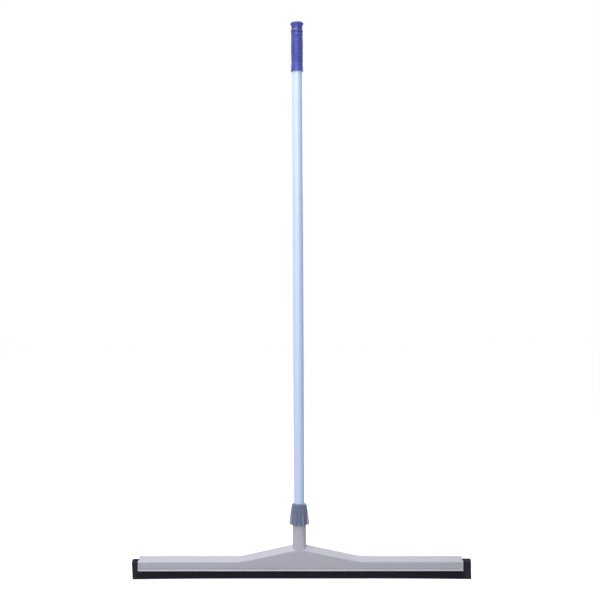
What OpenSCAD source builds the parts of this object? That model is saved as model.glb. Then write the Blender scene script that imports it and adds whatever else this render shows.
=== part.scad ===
// Floor squeegee: a twin foam-rubber blade in a moulded head frame, on a tube
// pole that a screw collar and a split clamp ring hold in the frame's socket.
// Millimetres. The origin is on the floor under the middle of the blade,
// X runs along the blade, the front is -Y and Z is up.

/* [Blade] */
// Length of the foam strips
blade_len = 750; // [560:10:900]
// Thickness of each foam strip
strip_t = 10; // [7:0.5:13]
// Height of each foam strip
strip_h = 36; // [32:0.5:42]
// Height of strip that shows below the frame
strip_show = 17.7; // [13:0.1:20]
// Free length of strip past each end of the frame
blade_overhang = 16.5; // [6:0.5:30]
// Space between the two strips, which the core bar fills
core_space = 8; // [7.5:0.5:12]
// How far the core bar shows below the frame
core_show = 3.7; // [2:0.1:6]
// How far the core bar stops short of each strip end
core_end_gap = 2; // [0.5:0.5:6]
// Chamfer on the lower edges of the core bar
core_chamfer = 0.6; // [0.2:0.1:0.8]

/* [Core screws] */
// Distance between the screws along the frame
screw_pitch = 120; // [80:5:160]
// Diameter of the screw shank
screw_d = 2.8; // [2.4:0.1:3.4]
// Diameter of the pan head
screw_head_d = 6; // [5:0.2:6.4]
// Thickness of the pan head
screw_head_t = 2.2; // [1.6:0.1:2.6]
// Depth of the head below the underside of the core bar
screw_sink = 0.6; // [0.2:0.1:1.5]
// Length of thread held in the boss
screw_bite = 6.5; // [4:0.5:7]
// Length of the point at the screw's tip
screw_point = 1.2; // [0.8:0.1:1.6]
// Rounding of the pan head, drawn as a chamfer
screw_head_edge = 0.9; // [0.5:0.1:1.2]
// Outer diameter of the screw bosses
boss_d = 8; // [6.5:0.5:9]
// Least distance from a screw to the end of the hollow
screw_edge = 40; // [20:1:60]

/* [Frame] */
// Wall thickness of the moulding
wall = 2.5; // [1.9:0.1:3]
// Width of the ledge that seats the top of each foam strip
seat_ledge = 1.5; // [1:0.1:2.5]
// Height of the front face above the top of the blade slot
eave_cover = 0.8; // [0.4:0.1:2]
// Radius of the rounded eaves, drawn as facets
eave_r = 4.2; // [2:0.1:6]
// Rise of the pitched roof from eave to ridge
roof_rise = 9.5; // [8:0.1:14]
// Width of the flat along the ridge
ridge_flat = 5; // [3:0.5:8]
// Height of the flared rim along the mouth
rim_h = 4; // [3:0.1:6]
// How far the rim flares out from the face
rim_out = 2.7; // [1.5:0.1:4]
// Thickness of the rim at its edge
rim_edge = 1.3; // [0.8:0.1:2.5]
// Thickness of the rim round each end opening
end_rim_t = 2.8; // [2:0.1:4]
// How far the end rim stands out from the face
end_rim_out = 1.2; // [0.8:0.1:2.5]
// Material of the end rim above the blade slot
end_rim_top = 1.9; // [1.2:0.1:3]
// Corner radius of the end rim
end_rim_r = 4; // [2:0.5:6]
// Distance from the middle to where the gable starts to rise
gable_reach = 132; // [90:1:170]
// Slope of the gable in degrees
gable_slope = 12; // [8:0.5:14]
// Half length of the rounded bend at the foot of the gable
gable_blend = 12; // [4:1:20]
// Half width of the flat under the socket
gable_top = 12; // [8:1:16]
// Distance between the cross ribs under the roof
rib_pitch = 40; // [34:1:46]
// Thickness of the cross ribs
rib_t = 2; // [1.5:0.1:2.6]
// Number of barbed ridges on each slot wall
barb_count = 2; // [1:1:2]
// Distance between the barbed ridges
barb_pitch = 5; // [4:0.5:5.5]
// Reach of a barb into the foam
barb_reach = 0.9; // [0.5:0.1:1.2]
// Height of a barb
barb_h = 2.2; // [1.6:0.1:2.6]
// Height of a barb's edge above its foot
barb_edge = 0.4; // [0.2:0.1:0.6]

/* [Socket] */
// Height of the socket from the gable top to the collar
socket_rise = 45; // [30:1:60]
// Draft of the socket in degrees
socket_draft = 0.7; // [0.3:0.1:1.2]
// Height of the spigot inside the collar
spigot_h = 32; // [28:0.5:34]
// Wall of the spigot at the edge of its cone mouth
spigot_lip = 1.25; // [0.6:0.05:1.6]
// Depth of the socket from its mouth to its floor
socket_depth = 90.3; // [70:0.1:100]
// Thickness of the socket floor
socket_floor = 4; // [3:0.5:6]
// How much squarer the socket gets from its round top to its root
root_square = 1; // [0.2:0.1:2]
// How far the socket's root lies inside the faces
root_inset = 0.2; // [0.1:0.05:0.5]
// How far the root reaches down inside the gable
root_sunk = 12; // [8:1:16]
// Step from the spigot out to the socket, on which the collar stops
socket_step = 0.1; // [0.1:0.05:0.4]

/* [Collar] */
// Height of the locking collar
collar_h = 44.8; // [42:0.2:50]
// Wall of the collar at its top
collar_wall = 1.5; // [1.2:0.1:2.2]
// Growth of the collar's radius from top to bottom
collar_flare = 0.8; // [0.4:0.1:1.6]
// Number of wings
wing_count = 6; // [4:1:8]
// Thickness of each wing
wing_t = 2.2; // [1.6:0.1:3]
// Reach of a wing beyond the body at its foot
wing_foot = 4.5; // [3:0.1:6]
// Reach of a wing beyond the body at half height
wing_mid = 3.1; // [1.5:0.1:4]
// Depth of the finger panels between the wings
panel_depth = 0.6; // [0.3:0.1:0.8]
// Width of the finger panels
panel_w = 8.4; // [6:0.2:9]
// Height of a wing's upright edge at its foot
wing_edge = 7; // [3:0.1:8]
// Height at which a wing's edge turns steep
wing_knee = 12; // [9:0.5:16]
// How far a wing is hollowed at that height
wing_hollow = 0.4; // [0.2:0.1:0.8]
// Distance from the top of the collar to the end of a wing
wing_end = 2.2; // [1.5:0.1:4]
// Height of the bead along the collar's lower edge
foot_bead_h = 3; // [2:0.5:5]
// Rounding of the collar's outer edges, drawn as a chamfer
collar_edge = 1.2; // [0.8:0.1:1.4]
// Height of the bead inside that carries the clamp ring
bead_h = 0.9; // [0.7:0.1:1.4]

/* [Clamp ring] */
// Wall of the clamp ring at its thin lower end
ring_wall = 1; // [0.8:0.1:1.4]
// Height of the ring's lower cone
cone_h = 8.5; // [6:0.5:10]
// Slope of the lower cone in degrees
cone_slope = 5; // [4:0.5:7]
// Width of the slit through the ring
ring_slit = 2.2; // [1.5:0.1:3]
// Thickness of the ring's snap flange
ring_flange_t = 1.8; // [1.4:0.1:2.4]
// Height of the ring's upper cone
upper_cone_h = 3.7; // [3:0.1:4.2]
// Slope of the upper cone, as radius lost for each unit of height
upper_slope = 0.3; // [0.2:0.05:0.35]
// How far the upper cone starts inside the flange's edge
upper_step = 0.4; // [0.3:0.1:0.8]

/* [Pole] */
// Outer diameter of the pole
pole_d = 22; // [18:0.5:26]
// Wall of the tube
pole_wall = 1; // [0.8:0.1:1.6]
// Length of the tube
pole_len = 1151; // [700:1:1400]
// Depth of the foot plug inside the tube
plug_depth = 16; // [8:1:30]
// Thickness of the plug's flange
plug_flange = 2; // [1.5:0.1:4]
// Chamfer on the ends of the pieces pressed into the tube
plug_lead = 1; // [0.5:0.1:1.4]

/* [Grip] */
// Length of the grip sleeve
grip_len = 89; // [80:1:120]
// Wall of the sleeve under the ribbed part
grip_wall = 1.5; // [1.2:0.1:2.5]
// Extra radius at the middle of the ribbed part
grip_swell = 0.7; // [0:0.05:1]
// Number of ribs
grip_ribs = 13; // [8:1:14]
// Distance between the ribs
grip_pitch = 4.4; // [3.6:0.1:4.8]
// Depth of the grooves between the ribs
groove_depth = 0.7; // [0.3:0.1:0.9]
// Distance from the top of the sleeve to the first rib
grip_head = 11; // [8:0.5:14]
// Wall of the sleeve at its neck, below the ribs
grip_tail_wall = 1.8; // [1:0.1:2.2]
// Height of the flare from the lip up to the neck
flare_h = 12; // [8:0.5:14]
// Extra radius at the foot of the flare
flare_out = 0.4; // [0.2:0.1:1.2]
// Depth of the groove between the flare and the lip
lip_groove = 0.3; // [0.2:0.05:0.5]
// Extra radius of the lip at the sleeve's mouth
lip_out = 0.55; // [0.4:0.05:1.6]
// Height of that lip
lip_h = 4; // [3:0.5:6]
// Chamfer on the lip's outer edge
lip_edge = 0.6; // [0.3:0.1:1]
// Height of the steps between the parts of the sleeve
grip_blend = 0.8; // [0.4:0.1:1.2]
// Height of the end cap above the seam
cap_h = 18.8; // [16:0.2:24]
// Height of the cap's collar above the seam
cap_collar_h = 2.2; // [1.5:0.1:4]
// How far that collar stands out from the sleeve
cap_collar_out = 0.25; // [0:0.05:0.5]
// How far the cap's waist draws in from the sleeve
cap_waist_in = 1.1; // [0.6:0.1:2]
// Height of the slope from the collar to the waist
cap_slope_h = 3; // [2:0.5:4]
// How far the domed flange stands out from the sleeve
cap_flange_out = 1.35; // [0.6:0.05:3]
// Height of the domed flange
cap_flange_h = 6; // [4:0.5:7]
// Depth of the cap's shank inside the tube
cap_shank = 22; // [12:1:40]
// Width of the groove at the seam
seam_w = 0.8; // [0.4:0.1:1.2]

/* [Clearances] */
// Between the foam strips and the frame
blade_gap = 0.3; // [0.2:0.05:0.5]
// Between fixed flat pieces
seat_gap = 0.1; // [0.05:0.05:0.3]
// Between the pole and the socket
pole_gap = 0.25; // [0.15:0.05:0.4]
// Between the clamp ring and the pole
clamp_gap = 0.1; // [0.08:0.01:0.15]
// Between the turning and sliding lock pieces
lock_gap = 0.3; // [0.25:0.05:0.4]
// Between pressed-in pieces and the tube
press_gap = 0.05; // [0.03:0.01:0.1]

/* [Hidden] */
$fn = 96;

// Cut past a face, so that no cutter ends flush with it
over = 1;

// Head, along X
frame_half = blade_len / 2 - blade_overhang;
shell_half = frame_half - end_rim_t;
cavity_half = shell_half - wall;

// Head, across Y
strip_in = core_space / 2;
strip_out = strip_in + strip_t;
slot_half = strip_out + blade_gap;
face_half = slot_half + wall;
cavity_half_w = slot_half - seat_ledge;

// Head, up Z
rim_z = strip_show;
face_z = rim_z + rim_h;
seat_z = strip_h + blade_gap;
eave_z = seat_z + eave_cover;
ridge_z = eave_z + roof_rise;
roof_pitch = roof_rise / (face_half - ridge_flat / 2);
roof_skin = wall * sqrt(1 + roof_pitch * roof_pitch);
cavity_eave_z = eave_z + roof_pitch * (face_half - cavity_half_w) - roof_skin;
cavity_ridge_z = ridge_z - wall;
cavity_flat = 2 * (cavity_half_w - (cavity_ridge_z - cavity_eave_z) / roof_pitch);

// Rounded eaves
eave_steps = 5;
roof_angle = atan(roof_pitch);
eave_drop = eave_r * tan((90 - roof_angle) / 2);

// Gable, as a lift that the whole roof section takes along X
gable_steps = 6;
function bend(u) =
    u <= -gable_blend ? 0 :
    u >= gable_blend ? u :
    pow(u + gable_blend, 2) / (4 * gable_blend);
function lift(x) = tan(gable_slope) * bend(gable_reach - max(abs(x), gable_top));
gable_half_x = concat(
    [gable_top],
    [for (i = [0:gable_steps]) gable_reach - gable_blend + 2 * gable_blend * i / gable_steps]);
gable_lift = lift(0);

// Core bar and screws
core_half = core_space / 2 - seat_gap;
core_z = rim_z - core_show;
core_top_z = seat_z - seat_gap;
screw_seat_z = core_z + screw_sink + screw_head_t;
screw_tip_z = seat_z + screw_bite;
screw_n = 2 * floor((cavity_half - screw_edge) / screw_pitch + 0.5);
screw_x = [for (i = [0:screw_n - 1]) (i - (screw_n - 1) / 2) * screw_pitch];
rib_n = floor((cavity_half - rib_pitch / 2) / rib_pitch);
rib_x = [for (i = [1:rib_n], s = [-1, 1]) s * i * rib_pitch];

// Lock, radii from the pole outwards
pole_r = pole_d / 2;
socket_r = pole_r + pole_gap;
ring_in_r = pole_r + clamp_gap;
ring_low_r = ring_in_r + ring_wall;
ring_neck_r = ring_low_r + cone_h * tan(cone_slope);
mouth_low_r = ring_low_r + lock_gap / cos(cone_slope);
spigot_r = ring_neck_r + lock_gap / cos(cone_slope) + spigot_lip;
collar_bore_r = spigot_r + lock_gap;
collar_top_r = collar_bore_r + collar_wall;
collar_foot_r = collar_top_r + collar_flare;
ring_flange_r = collar_bore_r - lock_gap;
bead_r = (ring_neck_r + ring_flange_r) / 2;
shoulder_r = ring_flange_r - upper_step;
collar_hole_r = pole_r + 2 * lock_gap;
socket_top_r = spigot_r + socket_step;
function socket_outer_r(z) = socket_top_r + (socket_z - z) * tan(socket_draft);

// Socket, round under the collar and nearly square and flush with the faces at its root
root_z = eave_z + gable_lift - eave_drop;
root_steps = 8;
root_sides = 72;
function root_share(z) = pow(min(1, (socket_z - z) / (socket_z - root_z)), 1.5);
function socket_deep(z) =
    socket_outer_r(z) + (face_half - root_inset - socket_outer_r(root_z)) * root_share(z);
function socket_point(z, a) =
    let (n = 2 + root_square * root_share(z),
         r = pow(pow(abs(cos(a)) / socket_outer_r(z), n) + pow(abs(sin(a)) / socket_deep(z), n), -1 / n))
        [r * cos(a), r * sin(a), z];

// Lock, heights
gable_z = ridge_z + gable_lift;
socket_z = gable_z + socket_rise;
mouth_z = socket_z + spigot_h;
floor_z = mouth_z - socket_depth;
cone_z = mouth_z + lock_gap - cone_h;
collar_z = socket_z + 2 * lock_gap;
collar_top_z = collar_z + collar_h;
bead_z = mouth_z + lock_gap;
flange_z = bead_z + bead_h + lock_gap;
flange_top_z = flange_z + ring_flange_t;
shoulder_z = flange_top_z + lock_gap;
ring_top_z = flange_top_z + upper_cone_h;

// Pole and grip
pole_z = floor_z + seat_gap + plug_flange;
pole_top_z = pole_z + pole_len;
grip_bore_r = pole_r + press_gap;
grip_z = pole_top_z - grip_len;
grip_r = grip_bore_r + grip_wall;
tail_r = grip_bore_r + grip_tail_wall;
shank_r = pole_r - pole_wall - press_gap;
rib_low_z = pole_top_z - grip_head - (grip_ribs - 1) * grip_pitch;
rib_mid_z = pole_top_z - grip_head - (grip_ribs - 1) * grip_pitch / 2;

// Frame shell

// Front half of a gabled section in Y and Z, from its foot up to the edge of the ridge
function half_section(half_w, low, eave, ridge, flat, round_r) = concat(
    [[-half_w, low]],
    round_r == 0 ? [[-half_w, eave]] :
    [for (i = [0:eave_steps])
        let (a = 90 - (90 - roof_angle) * i / eave_steps)
            [round_r * (1 - sin(a)) - half_w, eave - eave_drop + round_r * cos(a)]],
    [[-flat / 2, ridge]]);

// Body with upright faces, two roof slopes, a flat ridge and a gable, skinned over its sections along X
module gabled_body(half_len, half_w, low, eave, ridge, flat, round_r) {
    front = half_section(half_w, low, eave, ridge, flat, round_r);
    section = concat(front, [for (i = [len(front) - 1:-1:0]) [-front[i][0], front[i][1]]]);
    n = len(section);
    stations = concat(
        [-half_len], [for (i = [len(gable_half_x) - 1:-1:0]) -gable_half_x[i]], gable_half_x, [half_len]);
    last = len(stations) - 1;
    polyhedron(
        points = [for (x = stations, p = section) [x, p[0], p[1] + (p[1] > low ? lift(x) : 0)]],
        faces = concat(
            [[for (k = [n - 1:-1:0]) k]],
            [for (i = [0:last - 1], k = [0:n - 1])
                let (next = (k + 1) % n)
                    [i * n + k, i * n + next, (i + 1) * n + next, (i + 1) * n + k]],
            [[for (k = [0:n - 1]) last * n + k]]));
}

// A section in Y and Z, drawn as x and y, run along X over the given half length
module along_x(half_len) {
    rotate([90, 0, 90])
        linear_extrude(2 * half_len, center = true)
            children();
}

// Flared rim along both sides of the mouth
module mouth_rim() {
    edge = face_half + rim_out;
    along_x(frame_half)
        polygon([[-edge, rim_z], [edge, rim_z], [edge, rim_z + rim_edge], [face_half, face_z],
                 [-face_half, face_z], [-edge, rim_z + rim_edge]]);
}

// Rim round the opening at one end, with its two upper corners rounded
module end_rim() {
    half_w = face_half + end_rim_out;
    top = seat_z + end_rim_top;
    corner_steps = 6;
    corner = [for (i = [0:corner_steps]) 90 * i / corner_steps];
    translate([shell_half - over, 0, 0])
        rotate([90, 0, 90])
            linear_extrude(end_rim_t + over)
                polygon(concat(
                    [[-half_w, rim_z], [half_w, rim_z]],
                    [for (a = corner) [half_w - end_rim_r * (1 - cos(a)), top - end_rim_r * (1 - sin(a))]],
                    [for (a = corner) [-half_w + end_rim_r * (1 - sin(a)), top - end_rim_r * (1 - cos(a))]]));
}

// Outside of the socket, from inside the gable up to the collar
module socket_skin() {
    heights = concat(
        [root_z - root_sunk],
        [for (i = [0:root_steps]) root_z + (socket_z - root_z) * i / root_steps]);
    last = len(heights) - 1;
    n = root_sides;
    polyhedron(
        points = [for (z = heights, k = [0:n - 1]) socket_point(z, 360 * k / n)],
        faces = concat(
            [[for (k = [0:n - 1]) k]],
            [for (i = [0:last - 1], k = [0:n - 1])
                let (a = i * n + k, b = i * n + (k + 1) % n)
                    each [[a, a + n, b], [b, a + n, b + n]]],
            [[for (k = [n - 1:-1:0]) last * n + k]]));
}

// Tube round the socket's bore where it stands in the hollow under the gable
module socket_tube() {
    low = floor_z - socket_floor;
    translate([0, 0, low])
        cylinder(r = socket_top_r - root_inset, h = gable_z - low);
}

// Barbed ridges along one slot wall, grown by the given gap
module barb_section(gap) {
    for (i = [0:barb_count - 1])
        translate([slot_half, face_z + barb_pitch * (i + 0.6)])
            polygon([[over, -gap], [0, -gap], [-barb_reach - gap, barb_edge],
                     [0, barb_h + gap], [over, barb_h + gap]]);
}

module blade_slot() {
    difference() {
        translate([-frame_half - over, -slot_half, rim_z - over])
            cube([2 * (frame_half + over), 2 * slot_half, seat_z - rim_z + over]);
        along_x(shell_half) {
            barb_section(0);
            mirror([1, 0])
                barb_section(0);
        }
    }
}

// Hollow under the roof, with the cross ribs, the screw bosses and the socket left standing
module roof_hollow() {
    tall = gable_z;
    difference() {
        gabled_body(cavity_half, cavity_half_w, seat_z - over / 2,
                    cavity_eave_z, cavity_ridge_z, cavity_flat, 0);
        for (x = rib_x)
            translate([x - rib_t / 2, -face_half, seat_z])
                cube([rib_t, 2 * face_half, tall]);
        for (x = screw_x)
            translate([x, 0, seat_z])
                cylinder(d = boss_d, h = tall);
        socket_tube();
    }
}

module socket_bore() {
    translate([0, 0, floor_z])
        cylinder(r = socket_r, h = socket_depth + over);
    translate([0, 0, cone_z - lock_gap])
        cylinder(r1 = mouth_low_r, r2 = mouth_low_r + (cone_h + over) * tan(cone_slope),
                 h = cone_h + over);
}

module frame_shell() {
    pilot_r = screw_d / 2 + press_gap;
    color([0.67, 0.67, 0.71])
        difference() {
            union() {
                gabled_body(shell_half, face_half, rim_z + rim_edge, eave_z, ridge_z, ridge_flat, eave_r);
                mouth_rim();
                end_rim();
                mirror([1, 0, 0])
                    end_rim();
                socket_tube();
                socket_skin();
                translate([0, 0, socket_z - over])
                    cylinder(r = spigot_r, h = spigot_h + over);
            }
            blade_slot();
            roof_hollow();
            socket_bore();
            for (x = screw_x)
                translate([x, 0, seat_z - over])
                    cylinder(r = pilot_r, h = screw_bite + 2 * over);
        }
}

// Blade pack

// One foam strip, on the front side, pressed into by the barbs inside the frame
module foam_strip() {
    difference() {
        translate([-blade_len / 2, -strip_out, 0])
            cube([blade_len, strip_t, strip_h]);
        along_x(frame_half + blade_gap)
            mirror([1, 0])
                barb_section(seat_gap);
    }
}

module blade_front() {
    color([0.13, 0.13, 0.14])
        foam_strip();
}

module blade_rear() {
    color([0.13, 0.13, 0.14])
        mirror([0, 1, 0])
            foam_strip();
}

module blade_core_bar() {
    hole_r = screw_d / 2 + 2 * blade_gap;
    sink_r = screw_head_d / 2 + 2 * seat_gap;
    nose = core_half - core_chamfer;
    color([0.55, 0.56, 0.58])
        difference() {
            along_x(blade_len / 2 - core_end_gap)
                polygon([[-nose, core_z], [nose, core_z],
                         [core_half, core_z + core_chamfer], [core_half, core_top_z],
                         [-core_half, core_top_z], [-core_half, core_z + core_chamfer]]);
            for (x = screw_x) {
                translate([x, 0, core_z - over])
                    cylinder(r = hole_r, h = core_top_z - core_z + 2 * over);
                translate([x, 0, core_z - over])
                    cylinder(r = sink_r, h = screw_seat_z - core_z + over);
            }
        }
}

// Pan-head screws, driven up through the core bar into the bosses
module core_screws() {
    head_z = screw_seat_z - screw_head_t;
    head_r = screw_head_d / 2;
    color([0.75, 0.76, 0.78])
        for (x = screw_x)
            translate([x, 0, 0])
                rotate_extrude()
                    polygon([[0, head_z], [head_r - screw_head_edge, head_z],
                             [head_r, head_z + screw_head_edge], [head_r, screw_seat_z],
                             [screw_d / 2, screw_seat_z], [screw_d / 2, screw_tip_z - screw_point],
                             [screw_d / 4, screw_tip_z], [0, screw_tip_z]]);
}

// Pole lock

// Split ring: a long cone in the socket mouth, a flange held in the collar, a short cone above
module clamp_ring() {
    upper_r = shoulder_r - lock_gap;
    color([0.9, 0.9, 0.88])
        difference() {
            rotate_extrude()
                polygon([[ring_in_r, cone_z], [ring_low_r, cone_z], [ring_neck_r, cone_z + cone_h],
                         [ring_neck_r, flange_z], [ring_flange_r, flange_z], [ring_flange_r, flange_top_z],
                         [upper_r, flange_top_z], [upper_r - upper_slope * upper_cone_h, ring_top_z],
                         [ring_in_r, ring_top_z]]);
            translate([-ring_slit / 2, 0, cone_z - over])
                cube([ring_slit, ring_flange_r + over, ring_top_z - cone_z + 2 * over]);
        }
}

// One wing, tapering from the collar's foot to nothing near its top
module wing() {
    root = collar_bore_r + collar_wall / 2;
    tip = collar_foot_r + wing_foot;
    knee_r = collar_foot_r + (wing_foot + wing_mid) / 2 - wing_hollow;
    translate([0, wing_t / 2, collar_z])
        rotate([90, 0, 0])
            linear_extrude(wing_t)
                polygon([[root, 0], [tip, 0], [tip, wing_edge], [knee_r, wing_knee],
                         [collar_top_r + wing_mid, collar_h / 2],
                         [collar_top_r - lock_gap, collar_h - wing_end], [root, collar_h - wing_end]]);
}

// Finger panel with an arched top, to be sunk into the collar between two wings
module panel_cut() {
    low = collar_z + foot_bead_h;
    arch_z = collar_z + collar_h - panel_w;
    difference() {
        rotate([90, 0, 90])
            linear_extrude(collar_foot_r + over)
                union() {
                    translate([-panel_w / 2, low])
                        square([panel_w, arch_z - low]);
                    translate([0, arch_z])
                        circle(d = panel_w);
                }
        translate([0, 0, collar_z - over])
            cylinder(r1 = collar_foot_r - panel_depth, r2 = collar_top_r - panel_depth,
                     h = collar_h + 2 * over);
    }
}

module locking_collar() {
    hole_z = shoulder_z + (shoulder_r - collar_hole_r) / upper_slope;
    color([0.41, 0.44, 0.53])
        difference() {
            union() {
                rotate_extrude()
                    polygon([[collar_bore_r, collar_z], [collar_foot_r - collar_edge / 2, collar_z],
                             [collar_foot_r, collar_z + collar_edge],
                             [collar_top_r, collar_top_z - collar_edge],
                             [collar_top_r - collar_edge, collar_top_z], [collar_hole_r, collar_top_z],
                             [collar_hole_r, hole_z], [shoulder_r, shoulder_z], [collar_bore_r, shoulder_z],
                             [collar_bore_r, bead_z + bead_h], [bead_r, bead_z + bead_h],
                             [bead_r, bead_z], [collar_bore_r, bead_z]]);
                for (i = [0:wing_count - 1])
                    rotate(360 * i / wing_count)
                        wing();
            }
            for (i = [0:wing_count - 1])
                rotate(360 * (i + 0.5) / wing_count)
                    panel_cut();
        }
}

// Pole

module pole_tube() {
    color([0.74, 0.82, 0.94])
        translate([0, 0, pole_z])
            difference() {
                cylinder(r = pole_r, h = pole_len);
                translate([0, 0, -over])
                    cylinder(r = pole_r - pole_wall, h = pole_len + 2 * over);
            }
}

module pole_foot_plug() {
    low = pole_z - plug_flange;
    top = pole_z + plug_depth;
    color([0.2, 0.2, 0.22])
        rotate_extrude()
            polygon([[0, low], [pole_r - plug_lead, low], [pole_r, low + plug_lead], [pole_r, pole_z],
                     [shank_r, pole_z], [shank_r, top - plug_lead], [shank_r - plug_lead, top], [0, top]]);
}

// Grip

// Radius over the ribs, which swells towards the middle of the ribbed part
function crest_r(z) = grip_r + grip_swell * (1 - pow((z - rib_mid_z) / (grip_ribs * grip_pitch / 2), 2));

module grip_sleeve() {
    crest = grip_pitch * 0.24;
    flank = grip_pitch * 0.38;
    rib = [[-flank, -groove_depth], [-crest, 0], [crest, 0], [flank, -groove_depth]];
    lip_r = tail_r + lip_out;
    flare_r = tail_r + flare_out;
    groove_z = grip_z + lip_h + grip_blend;
    neck_z = rib_low_z - grip_pitch;
    head_z = rib_low_z + grip_ribs * grip_pitch - flank;
    chamfer = seam_w / 2;
    color([0.36, 0.40, 0.69])
        rotate_extrude()
            polygon(concat(
                [[grip_bore_r, grip_z], [lip_r - lip_edge, grip_z], [lip_r, grip_z + lip_edge],
                 [lip_r, groove_z - grip_blend], [flare_r - lip_groove, groove_z],
                 [flare_r, groove_z + grip_blend], [tail_r, groove_z + flare_h],
                 [tail_r, neck_z], [grip_r - groove_depth, neck_z + grip_blend]],
                [for (i = [0:grip_ribs - 1], p = rib)
                    let (z = rib_low_z + i * grip_pitch)
                        [crest_r(z) + p[1], z + p[0]]],
                [[grip_r, head_z], [grip_r, pole_top_z - chamfer],
                 [grip_r - chamfer, pole_top_z], [grip_bore_r, pole_top_z]]));
}

module grip_end_cap() {
    low = pole_top_z + seat_gap;
    top = low + cap_h;
    collar_z = low + cap_collar_h;
    chamfer = seam_w / 2;
    cap_r = grip_r + cap_collar_out;
    waist_r = grip_r - cap_waist_in;
    dome_r = cap_flange_h / 2;
    dome_in = grip_r + cap_flange_out - dome_r;
    dome_steps = 8;
    color([0.36, 0.40, 0.69])
        rotate_extrude()
            polygon(concat(
                [[0, low - cap_shank], [shank_r - plug_lead, low - cap_shank],
                 [shank_r, low - cap_shank + plug_lead], [shank_r, low], [cap_r - chamfer, low],
                 [cap_r, low + chamfer], [cap_r, collar_z],
                 [waist_r, collar_z + cap_slope_h], [waist_r, top - cap_flange_h - chamfer]],
                [for (i = [0:dome_steps])
                    let (a = -60 + 150 * i / dome_steps)
                        [dome_in + dome_r * cos(a), top - dome_r + dome_r * sin(a)]],
                [[0, top]]));
}

frame_shell();
blade_front();
blade_rear();
blade_core_bar();
core_screws();
clamp_ring();
locking_collar();
pole_tube();
pole_foot_plug();
grip_sleeve();
grip_end_cap();
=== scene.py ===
"""Floor squeegee: a twin foam blade in a gabled plastic head, on a blue tube pole with a ribbed grip."""
import math

import bmesh
import bpy
import numpy as np
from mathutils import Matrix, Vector, noise


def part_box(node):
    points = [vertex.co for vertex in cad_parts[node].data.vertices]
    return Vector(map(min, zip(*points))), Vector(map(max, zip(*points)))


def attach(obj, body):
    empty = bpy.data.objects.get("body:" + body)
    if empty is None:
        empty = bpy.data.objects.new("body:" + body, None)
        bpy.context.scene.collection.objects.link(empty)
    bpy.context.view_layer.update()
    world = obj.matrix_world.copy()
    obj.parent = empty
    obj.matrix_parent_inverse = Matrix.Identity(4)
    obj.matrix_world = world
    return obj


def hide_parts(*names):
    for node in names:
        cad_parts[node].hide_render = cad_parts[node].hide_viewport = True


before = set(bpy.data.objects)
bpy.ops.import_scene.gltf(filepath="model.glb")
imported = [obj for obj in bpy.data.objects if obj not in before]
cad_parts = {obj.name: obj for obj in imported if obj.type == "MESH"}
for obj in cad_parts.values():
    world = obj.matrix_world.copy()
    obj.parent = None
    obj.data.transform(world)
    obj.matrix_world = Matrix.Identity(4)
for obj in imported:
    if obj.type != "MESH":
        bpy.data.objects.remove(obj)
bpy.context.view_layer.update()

# Head frame
# One light grey polypropylene moulding: a channel that grips the blade, with a pitched roof that rises
# to a gable. The socket for the pole grows out of the gable's two faces, flush with them at its root.
mm = 0.001
frame_low, frame_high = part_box("frame_shell")
mouth_z = frame_low.z
merge_gap = 0.002 * mm
flat_angle = 0.3
# Where the CAD model's own points lie, from the middle and above the mouth, to find those that move
near = 0.05 * mm
face_y = 16.8 * mm
crease_h = 4 * mm
arms_from = 20 * mm
eave_y, eave_h = 14.4 * mm, 13 * mm
eave_top_y, eave_top_h = 13.5 * mm, 20.2 * mm
cad_roof_end, roof_h = 355.7 * mm, 19.8 * mm
# Where those points go
groove_top = 5.0 * mm
groove_low = 3.0 * mm
groove_depth = 1.3 * mm
eave_lift = 0.8 * mm
roof_end = 357.1 * mm
head_shift = 1.8 * mm
shift_from = 25 * mm
shift_run = 107 * mm
# Which edges are rounded, by how far they turn (degrees) and where they lie, and to what radius
least_lean = 0.3
rim_skin = 0.1 * mm
rim_h = 5 * mm
shortest_edge = 1.5 * mm
edge_turn = 36
gable_clear = 17 * mm
edge_radius = 0.5 * mm
ridge_turn = 24
ridge_clear = 14 * mm
ridge_low = 28 * mm
ridge_half = 3 * mm
ridge_run = 3 * mm
ridge_radius = 1.4 * mm
# The sizes of the socket, and of every turned or lofted shape below, are plain millimetres
socket_r = 14.525
socket_top = 117.1
socket_draft = 0.7
root_z = 60.35
root_half = 16.76
root_sunk = (5, 2)
root_step = 0.9
root_steps = 18
root_curve = 1.5
wide_square = 3
deep_square = 1
plain_from = root_z + 18
plain_steps = 14
socket_bore = 11.6
socket_floor = 58.8
spigot_top = 149.1
cut_past = 5


def linear(colour):
    """An sRGB hex colour as the linear RGBA that Blender's sockets hold."""
    parts = [int(colour[i:i + 2], 16) / 255 for i in (1, 3, 5)]
    return [c / 12.92 if c <= 0.04045 else ((c + 0.055) / 1.055) ** 2.4 for c in parts] + [1]


def add(tree, kind, feeds=None, **settings):
    """Adds a node with its settings; feeds maps an input to a value or to the socket that drives it."""
    new = tree.nodes.new(kind)
    for field, value in settings.items():
        setattr(new, field, value)
    for key, value in (feeds or {}).items():
        if isinstance(value, bpy.types.NodeSocket):
            tree.links.new(value, new.inputs[key])
        else:
            new.inputs[key].default_value = value
    return new


def start_material(name, roughness, ior=1.5, metallic=0.0):
    """A new material's tree, its Principled shader and its object coordinates."""
    material = bpy.data.materials.new(name)
    material.use_nodes = True
    tree = material.node_tree
    shader = tree.nodes["Principled BSDF"]
    shader.inputs["Roughness"].default_value = roughness
    shader.inputs["IOR"].default_value = ior
    shader.inputs["Metallic"].default_value = metallic
    return material, tree, shader, add(tree, "ShaderNodeTexCoord").outputs["Object"]


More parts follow.
